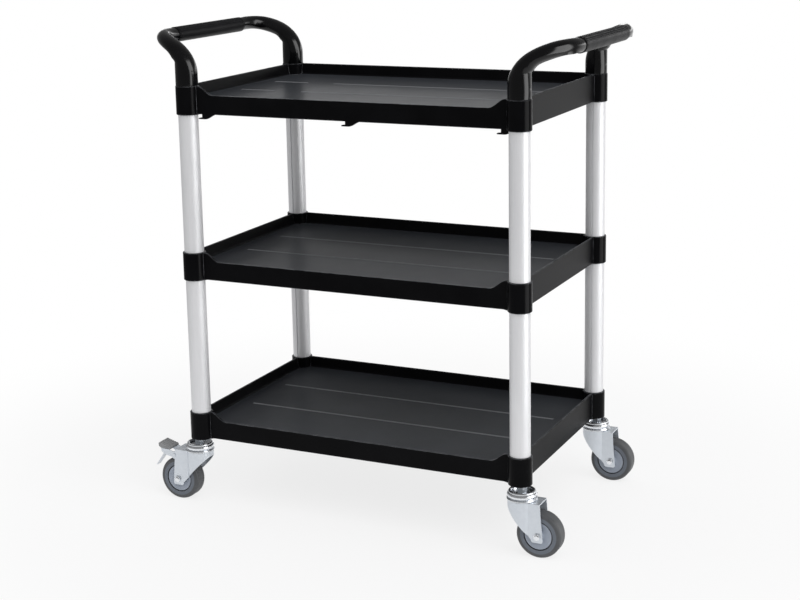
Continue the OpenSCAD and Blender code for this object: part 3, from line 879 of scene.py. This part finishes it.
@dataclass
class PushHandle(Assembly):
    """A curved handle that grows out of two round sockets, with its ribbed grip.

    Lengths are in millimetres and heights are measured from the rim. A point lies at (x, y, z) from
    the front leg's axis at the rim: x outwards, y towards the back. Along the bend, t goes from 0 at
    the leg to 1 at the bar.
    """

    side: Side = Side.RIGHT
    around: int = 72
    steps: int = 72
    # The plug in the socket, and the leg above it. An edge holds heights and how far each is set back.
    plug_depth: float = 22.0
    plug_radius: float = 19.9
    plug_chamfer: Span = (1.0, 0.7)
    leg_radius: float = 22.5
    leg_edge: tuple[Span, ...] = ((0.05, 0.7), (0.15, 0.45), (0.35, 0.15), (0.7, 0.0))
    # The height where the bend starts, and the leg's round outer wall from there up, which is sunk into
    # the leg at its lower edge and along its inner side.
    foot: float = 20.0
    leg_top: float = 56.0
    wall_edge: tuple[Span, ...] = ((-1.0, 0.1), (0.2, 0.0))
    wall_least: float = 0.5
    wall_sunk: float = 0.2
    wall_fade: float = 0.3
    wall_arch: float = 0.25
    # The bend's sweep line: how far back it ends. Its first inner control point lies leg_pull below that
    # end. The second lies out_pull outside it, up_pull above it and front_pull before the leg's axis.
    sweep: float = 86.0
    leg_pull: float = 9.9
    out_pull: float = 2.0
    front_pull: float = 6.2
    up_pull: float = 6.0
    # The bend's half sizes at the bar, and where along t its outlines start and stop changing.
    bend_radius: float = 14.5
    over_bar: float = 15.8
    side_bar: float = 13.9
    over_stop: float = 0.62
    under_stop: float = 0.42
    side_span: Span = (0.35, 0.83)
    tuck: float = 4.5
    tuck_stop: float = 0.28
    keel: float = 35.0
    keel_span: Span = (0.57, 0.84)
    # The grip sleeve and its grooves, which start at a share of their depth. The bend's end is rounded
    # towards the core that carries the sleeve.
    grip_wall: float = 1.3
    grip_gap: float = 0.1
    end_gap: float = 0.25
    end_edge: Span = (0.2, 0.15)
    rib_depth: float = 0.8
    rib_half: float = 0.95
    rib_turns: tuple[int, ...] = (36, 54, 72, 90, 108, 126, 144)
    rib_runout: float = 8.0
    rib_start: tuple[Span, ...] = ((0.0, 0.0), (1.2, 0.7), (2.6, 1.0))
    sleeve_edge: tuple[Span, ...] = ((0.0, 0.7), (0.25, 0.2), (0.8, 0.0))

    def measure(self) -> None:
        """Takes the places of the legs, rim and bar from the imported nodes, in millimetres."""
        tag = self.side.name.lower()
        end = "r" if self.side is Side.RIGHT else "l"
        self.handle_node, self.grip_node = f"handle_{tag}", f"grip_{tag}"
        post = middle(f"post_upper_f{end}")
        self.half_x, self.half_y = abs(post.x) / MM, abs(post.y) / MM
        self.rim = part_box(self.handle_node)[0].z / MM + self.plug_depth
        low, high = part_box(self.grip_node)
        self.grip_radius = (high.z - low.z) / 2 / MM
        self.grip_half = (high.y - low.y) / 2 / MM
        bar = middle(self.grip_node)
        self.bar = Vector((abs(bar.x) / MM - self.half_x, 0.0, bar.z / MM - self.rim))
        lift = (self.over_bar - self.bend_radius) / math.sqrt(2)
        self.reach, self.rise = self.bar.x + lift, self.bar.z - lift
        self.path = [Vector((0, 0, self.foot)), Vector((0, 0, self.rise - self.leg_pull)),
                     Vector((self.reach + self.out_pull, -self.front_pull, self.rise + self.up_pull)),
                     Vector((self.reach, self.sweep, self.rise))]

    def point(self, t: float) -> Vector:
        """A point of the bend's sweep line, from the leg at 0 to the bar at 1."""
        u = 1 - t
        a, b, c, d = self.path
        return u ** 3 * a + 3 * u * u * t * b + 3 * u * t * t * c + t ** 3 * d

    def heading(self, t: float) -> Vector:
        """Direction of the sweep line at t."""
        step = 0.001
        return (self.point(min(1, t + step)) - self.point(max(0, t - step))).normalized()

    @staticmethod
    def upper(heading: Vector) -> Vector:
        """Direction across the line, towards the inner upper side."""
        lean = Vector((-1, 0, 1)).normalized()
        return (lean - lean.dot(heading) * heading).normalized()

    @staticmethod
    def ease(low: float, high: float, start: float, stop: float, t: float) -> float:
        """Goes smoothly from low to high as t goes from start to stop."""
        k = min(1.0, max(0.0, (t - start) / (stop - start)))
        return low + (high - low) * k * k * (3 - 2 * k)

    def over(self, t: float) -> float:
        """Offset to the inner and upper outline."""
        return self.ease(self.leg_radius, self.over_bar, 0, self.over_stop, t)

    def under(self, t: float) -> float:
        """Offset to the underside, which is tucked inside the leg at first."""
        k = min(1.0, t / self.tuck_stop)
        mean = self.ease(self.leg_radius, self.bend_radius, 0, self.under_stop, t)
        return 2 * mean - self.over(t) - self.tuck * 4 * k * (1 - k)

    def ridge(self, t: float) -> float:
        """Half angle of the blunt ridge along the outer lower side, in degrees."""
        start, peak = self.keel_span
        return self.ease(0.0, self.keel, start, peak, t) * (1 - self.ease(0.0, 1.0, peak, 1.0, t))

    def oval(self, centre: Vector, across: Vector, along: Vector, a: float, b: float,
             ridge: float = 0.0) -> Ring:
        """An oval ring about a centre.

        Args:
            centre: Its centre.
            across: Direction of the half axis b.
            along: Direction of the half axis a.
            a: Half its width.
            b: Half its height.
            ridge: Half angle over which the far side from across is drawn out to a ridge, in degrees.

        Returns:
            The ring's points.
        """
        ring = []
        for i in range(self.around):
            turn = 360 * i / self.around
            u = math.radians(turn)
            grow = 1 / math.cos(math.radians(max(0.0, ridge - abs(turn - 180))))
            ring.append(centre + grow * (b * math.cos(u) * across + a * math.sin(u) * along))
        return ring

    def level_ring(self, z: float, radius: float) -> Ring:
        """A level round ring about the leg's axis."""
        return self.oval(Vector((0, 0, z)), Vector((-1, 0, 0)), Vector((0, 1, 0)), radius, radius)

    def bend_ring(self, t: float) -> Ring:
        """The oval section of the bend at t."""
        heading = self.heading(t)
        across = self.upper(heading)
        half = (self.over(t) + self.under(t)) / 2
        centre = self.point(t) + (self.over(t) - half) * across
        width = self.ease(self.leg_radius, self.side_bar, *self.side_span, t)
        return self.oval(centre, across, across.cross(heading), width, half, self.ridge(t))

    def bar_ring(self, y: float, radius: float) -> Ring:
        """A round section of the bar, at a distance y behind the front leg's axis."""
        heading = Vector((0, 1, 0))
        across = self.upper(heading)
        return self.oval(Vector((self.bar.x, y, self.bar.z)), across, across.cross(heading), radius, radius)

    def leg_wall(self) -> list[Ring]:
        """The leg's outer side, which stays round up to where it meets the underside of the bend."""
        rings = [[] for _ in range(len(self.wall_edge) + 1)]
        for i in range(self.around):
            u = 2 * math.pi * i / self.around
            outer = max(0.0, math.cos(u))
            radius = self.leg_radius - self.ease(self.wall_sunk, 0.0, 0.0, self.wall_fade, outer)
            top = self.wall_least + (self.leg_top - self.foot) * outer ** self.wall_arch
            for ring, (height, back) in zip(rings, (*self.wall_edge, (top, 0.0))):
                r = radius - back
                ring.append(Vector((r * math.cos(u), r * math.sin(u), self.foot + height)))
        return rings

    def placed(self, ring: Ring) -> Ring:
        """Moves a ring from the front leg's axis to its place on the cart, in metres."""
        out = self.side.value
        return [Vector((out * (p.x + self.half_x), p.y - self.half_y, p.z + self.rim)) * MM for p in ring]

    def build(self) -> None:
        """Makes the handle and its grip."""
        self.measure()
        up, inset = self.plug_chamfer
        half = [self.level_ring(-self.plug_depth, self.plug_radius - inset),
                self.level_ring(up - self.plug_depth, self.plug_radius), self.level_ring(0, self.plug_radius)]
        half += [self.level_ring(height, self.leg_radius - back) for height, back in self.leg_edge]
        half += [self.bend_ring(i / self.steps) for i in range(self.steps + 1)]
        start = self.half_y - self.grip_half - self.end_gap
        core = self.grip_radius - self.grip_wall - self.grip_gap
        before, inset = self.end_edge
        half += [self.bar_ring(start - before, self.bend_radius - inset), self.bar_ring(start, core)]
        rings = [self.placed(ring) for ring in half]
        rings += self.behind(reversed(rings))
        wall = [self.placed(ring) for ring in self.leg_wall()]
        name = f"push_{self.handle_node}"
        skin = fuse(name, loft(name, rings), loft("front_wall", wall), loft("back_wall", self.behind(wall)))
        self.handle = self.settle(skin, self.handle_node, sharp=40)
        self.grip = self.settle(self.sleeve(), self.grip_node, sharp=50)
        self.pieces += [self.handle, self.grip]

    @staticmethod
    def behind(rings: Iterable[Ring]) -> list[Ring]:
        """The same rings on the other side of the cart's middle."""
        return [[Vector((p.x, -p.y, p.z)) for p in ring] for ring in rings]

    @staticmethod
    def settle(mesh: bpy.types.Mesh, node: str, sharp: float) -> bpy.types.Object:
        """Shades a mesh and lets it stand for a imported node.

        Args:
            mesh: The finished mesh.
            node: The node that it stands for.
            sharp: Edges that turn by more than this many degrees stay sharp.

        Returns:
            The piece.
        """
        smooth_by_angle(mesh, sharp)
        made = piece_from(mesh.name, mesh)
        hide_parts(node)
        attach(made, "cart")
        return made

    def sleeve(self) -> bpy.types.Mesh:
        """The grip: a sleeve with fine grooves over its upper half.

        Returns:
            The mesh, a closed tube.
        """
        # Each stop is a distance from the end, a radius and the share of the grooves' depth.
        stops = [(0.0, self.grip_radius - self.grip_wall, 0.0)]
        stops += [(y, self.grip_radius - back, 0.0) for y, back in self.sleeve_edge]
        stops += [(self.rib_runout + y, self.grip_radius, share) for y, share in self.rib_start]
        length = 2 * self.grip_half
        stops += [(length - y, r, share) for y, r, share in reversed(stops)]
        rings = [self.placed([self.ribbed(turn, *stop) for turn in range(360)]) for stop in stops]
        return loft(self.grip_node.replace("grip", "grip_sleeve"), rings, closed=True)

    def ribbed(self, turn: int, y: float, radius: float, share: float) -> Vector:
        """A point of the sleeve's outer face.

        Args:
            turn: Angle round the bar in degrees, 0 at the outer side.
            y: Distance from the sleeve's front end.
            radius: Radius there.
            share: How much of the grooves' depth shows.

        Returns:
            The point, measured from the front leg's axis.
        """
        away = math.radians(min(abs(turn - place) for place in self.rib_turns)) * radius
        wave = 0.5 + 0.5 * math.cos(math.pi * min(1.0, away / self.rib_half))
        r = radius - self.rib_depth * wave * share
        angle = math.radians(turn)
        return Vector((self.bar.x + r * math.cos(angle), self.half_y - self.grip_half + y,
                       self.bar.z + r * math.sin(angle)))

    def dress(self) -> None:
        """Gloss black on the handle, matte black on the grip."""
        self.give(self.handle, HANDLE_PLASTIC)
        self.give(self.grip, GRIP_PLASTIC)


@dataclass
class Caster(Assembly):
    """A swivel caster: stem, ball race, fork, wheel and, on the left, a foot brake."""

    corner: Corner = Corner.FRONT_LEFT
    fork_radius: float = 0.55 * MM
    small_radius: float = 0.3 * MM
    hub_radius: float = 0.35 * MM
    pad_radius: float = 0.8 * MM

    @property
    def braked(self) -> bool:
        """Whether this caster carries a foot brake."""
        return self.corner in (Corner.FRONT_LEFT, Corner.BACK_LEFT)

    def build(self) -> None:
        """Rounds the hard edges of the pressed, turned and moulded parts."""
        tag = self.corner.value
        work = [("stem", "caster_stem", self.small_radius, FORK_ZINC),
                ("fork", "caster_fork", self.fork_radius, FORK_ZINC),
                ("axle", "axle_bolt", self.small_radius, RING_CHROME),
                ("nut", "axle_nut", self.small_radius, FORK_ZINC),
                ("hub", "wheel_centre", self.hub_radius, HUB_PLASTIC)]
        if self.braked:
            work += [("brake_pin", "brake_rivet", self.small_radius, FORK_ZINC),
                     ("pedal", "brake_pedal", self.small_radius, FORK_ZINC),
                     ("pad", "brake_pad", self.pad_radius, PAD_PLASTIC)]
        self.made = [(break_edges(f"{node}_{tag}", f"{name}_{tag}", radius), finish)
                     for node, name, radius, finish in work]
        self.pieces += [piece for piece, _ in self.made]

    def dress(self) -> None:
        """Finishes the new pieces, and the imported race, sleeve and tyre."""
        for piece, finish in self.made:
            self.give(piece, finish)
        tag = self.corner.value
        self.coat(f"race_{tag}", RING_CHROME)
        self.coat(f"bush_{tag}", PLUG_NYLON)
        self.coat(f"tyre_{tag}", TYRE_RUBBER)


# ------------------------------------------------------------------------- studio


@dataclass
class Studio:
    """White floor and surroundings, a broad key lamp and a tall soft box at the right.

    sky is the level of the even light, and lift is how far the floor under the cart is brought towards
    white. Reflections find glow in a low band at the back, box at the right and shade elsewhere.
    Angles are in degrees. Those of the surroundings are taken round from the front, and heights there
    are the upward share of a direction. A pair holds where a change starts and where it ends.
    """

    floor_radius: float = 1.5
    floor_colour: Colour = (0.90, 0.90, 0.905)
    floor_rough: float = 0.85
    floor_specular: float = 0.1
    floor_fade: Span = (0.45, 0.98)
    lift: float = 0.8
    sky: float = 0.62
    shade: float = 0.25
    glow: float = 2.6
    glow_turn: Span = (120.0, 150.0)
    glow_rise: Span = (0.0, 0.05)
    glow_fall: Span = (0.08, 0.2)
    glow_rest: float = 0.05
    key: float = 1.15
    key_turn: tuple[float, float, float] = (38.0, 0.0, 62.0)
    key_size: float = 55.0
    box: float = 4.8
    box_turn: float = 92.0
    box_side: Span = (16.0, 26.0)
    box_top: Span = (0.5, 0.6)

    def build(self) -> None:
        """Makes the floor, the surroundings and the lamp."""
        self.floor()
        self.surroundings()
        self.sun("key_lamp", self.key, self.key_turn, self.key_size)

    @staticmethod
    def seen(sketch: Sketch) -> Socket:
        """1 for camera, glossy and transmission rays, 0 for the rays that carry light."""
        ray = sketch.add("ShaderNodeLightPath")
        either = sketch.math("MAXIMUM", ray.outputs["Is Camera Ray"], ray.outputs["Is Glossy Ray"])
        return sketch.math("MAXIMUM", either, ray.outputs["Is Transmission Ray"])

    def floor(self) -> None:
        """A round level floor that fades into the white surroundings and keeps a pale shadow."""
        shape = bmesh.new()
        bmesh.ops.create_circle(shape, cap_ends=True, segments=96, radius=self.floor_radius)
        floor = piece_from("studio_floor", mesh_from("studio_floor", shape))
        paint = bpy.data.materials.new("studio_floor_paint")
        paint.use_nodes = True
        sketch = Sketch(paint.node_tree)
        shader = sketch.add("ShaderNodeBsdfPrincipled", {
            "Base Color": (*self.floor_colour, 1), "Roughness": self.floor_rough,
            "Specular IOR Level": self.floor_specular})
        away = sketch.length(sketch.coordinates((1, 1, 0)))
        start, stop = (edge * self.floor_radius for edge in self.floor_fade)
        share = sketch.remap(away, start, stop, self.lift, 1)
        white = sketch.add("ShaderNodeEmission", {"Color": (1, 1, 1, 1), "Strength": 1.0})
        shown = sketch.add("ShaderNodeMixShader", {
            0: sketch.math("MULTIPLY", self.seen(sketch), share), 1: shader.outputs[0], 2: white.outputs[0]})
        sketch.add("ShaderNodeOutputMaterial", {"Surface": shown.outputs[0]})
        floor.data.materials.append(paint)

    def surroundings(self) -> None:
        """Even light all round, plain white to the camera. Reflections find dark surroundings with a
        bright low band at the back and a bright soft box at the right."""
        world = bpy.data.worlds.new("studio")
        world.use_nodes = True
        bpy.context.scene.world = world
        sketch = Sketch(world.node_tree)
        ray = sketch.add("ShaderNodeLightPath")
        way = sketch.axes(sketch.add("ShaderNodeTexCoord").outputs["Generated"])
        front = sketch.math("MULTIPLY", way["Y"], -1.0)
        turn = sketch.math("DEGREES", sketch.math("ARCTAN2", way["X"], front))
        back = sketch.remap(sketch.math("ABSOLUTE", turn), *self.glow_turn)
        rise = sketch.remap(way["Z"], *self.glow_rise, 1, self.glow)
        fall = sketch.remap(way["Z"], *self.glow_fall, 1, self.glow_rest)
        level = sketch.math("MULTIPLY", back, sketch.math("MULTIPLY", rise, fall))
        level = sketch.math("MAXIMUM", level, self.shade)
        right = sketch.math("ABSOLUTE", sketch.math("SUBTRACT", turn, self.box_turn))
        box = sketch.math("MULTIPLY", sketch.remap(right, *self.box_side, 1, 0),
                          sketch.remap(way["Z"], *self.box_top, 1, 0))
        level = sketch.math("ADD", level, sketch.math("MULTIPLY", box, self.box))
        glossy = sketch.math("MAXIMUM", ray.outputs["Is Glossy Ray"], ray.outputs["Is Transmission Ray"])
        plain = sketch.between(ray.outputs["Is Camera Ray"], self.sky, 1.0)
        strength = sketch.between(glossy, plain, level)
        backing = sketch.add("ShaderNodeBackground", {"Color": (1, 1, 1, 1), "Strength": strength})
        sketch.add("ShaderNodeOutputWorld", {"Surface": backing.outputs[0]})

    @staticmethod
    def sun(name: str, strength: float, turn: tuple[float, float, float], size: float) -> None:
        """Adds a broad far lamp.

        Args:
            name: Its name.
            strength: Its strength.
            turn: Rotation about X, Y and Z, in degrees.
            size: Its apparent size, in degrees.
        """
        lamp = bpy.data.lights.new(name, "SUN")
        lamp.energy = strength
        lamp.angle = math.radians(size)
        held = bpy.data.objects.new(name, lamp)
        held.rotation_euler = [math.radians(a) for a in turn]
        held.visible_glossy = False
        bpy.context.scene.collection.objects.link(held)


@dataclass(frozen=True)
class Viewpoint:
    """The camera: where it stands, what it looks at and its lens.

    Angles are in degrees and distances in metres, the sensor in millimetres, and the focal length and
    the shift are shares of the sensor's width.
    """

    azimuth: float = 25.394
    elevation: float = 11.874
    roll: float = -1.0185
    distance: float = 3.3196
    target: tuple[float, float, float] = (0.0067, 0.0, 0.5669)
    focal: float = 2.010525
    shift: float = -0.09
    sensor: float = 36.0
    clip: Span = (0.1, 200.0)

    def build(self) -> None:
        """Makes the camera and sets it on the scene."""
        a, e, r = (math.radians(d) for d in (self.azimuth, self.elevation, self.roll))
        back = Vector((math.sin(a) * math.cos(e), -math.cos(a) * math.cos(e), math.sin(e)))
        right = (-back).cross(Vector((0, 0, 1))).normalized()
        top = right.cross(-back)
        turned = right * math.cos(r) + top * math.sin(r)
        lifted = top * math.cos(r) - right * math.sin(r)
        data = bpy.data.cameras.new("camera")
        data.sensor_width = self.sensor
        data.lens = self.focal * self.sensor
        data.shift_y = self.shift
        data.clip_start, data.clip_end = self.clip
        camera = bpy.data.objects.new("camera", data)
        place = Matrix((turned, lifted, back)).transposed().to_4x4()
        place.translation = Vector(self.target) + back * self.distance
        camera.matrix_world = place
        bpy.context.scene.collection.objects.link(camera)
        bpy.context.scene.camera = camera


@dataclass
class Cart:
    """The whole cart, made of its sub-assemblies."""

    assemblies: list[Assembly] = field(default_factory=lambda: [
        TrayStack(), Posts(), PushHandle(side=Side.LEFT), PushHandle(side=Side.RIGHT),
        *(Caster(corner=corner) for corner in Corner)])

    def make(self) -> None:
        """Builds and dresses every sub-assembly."""
        for assembly in self.assemblies:
            assembly.build()
            assembly.dress()
            LOG.info("%s: %d pieces", type(assembly).__name__, len(assembly.pieces))


def main() -> None:
    """Builds the cart around its frame, then the studio and the camera."""
    logging.basicConfig(level=logging.INFO, format="%(name)s %(message)s", force=True)
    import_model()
    Viewpoint().build()
    Studio().build()
    Cart().make()
    bpy.context.scene.view_settings.view_transform = "Standard"


if __name__ == "__main__":
    main()
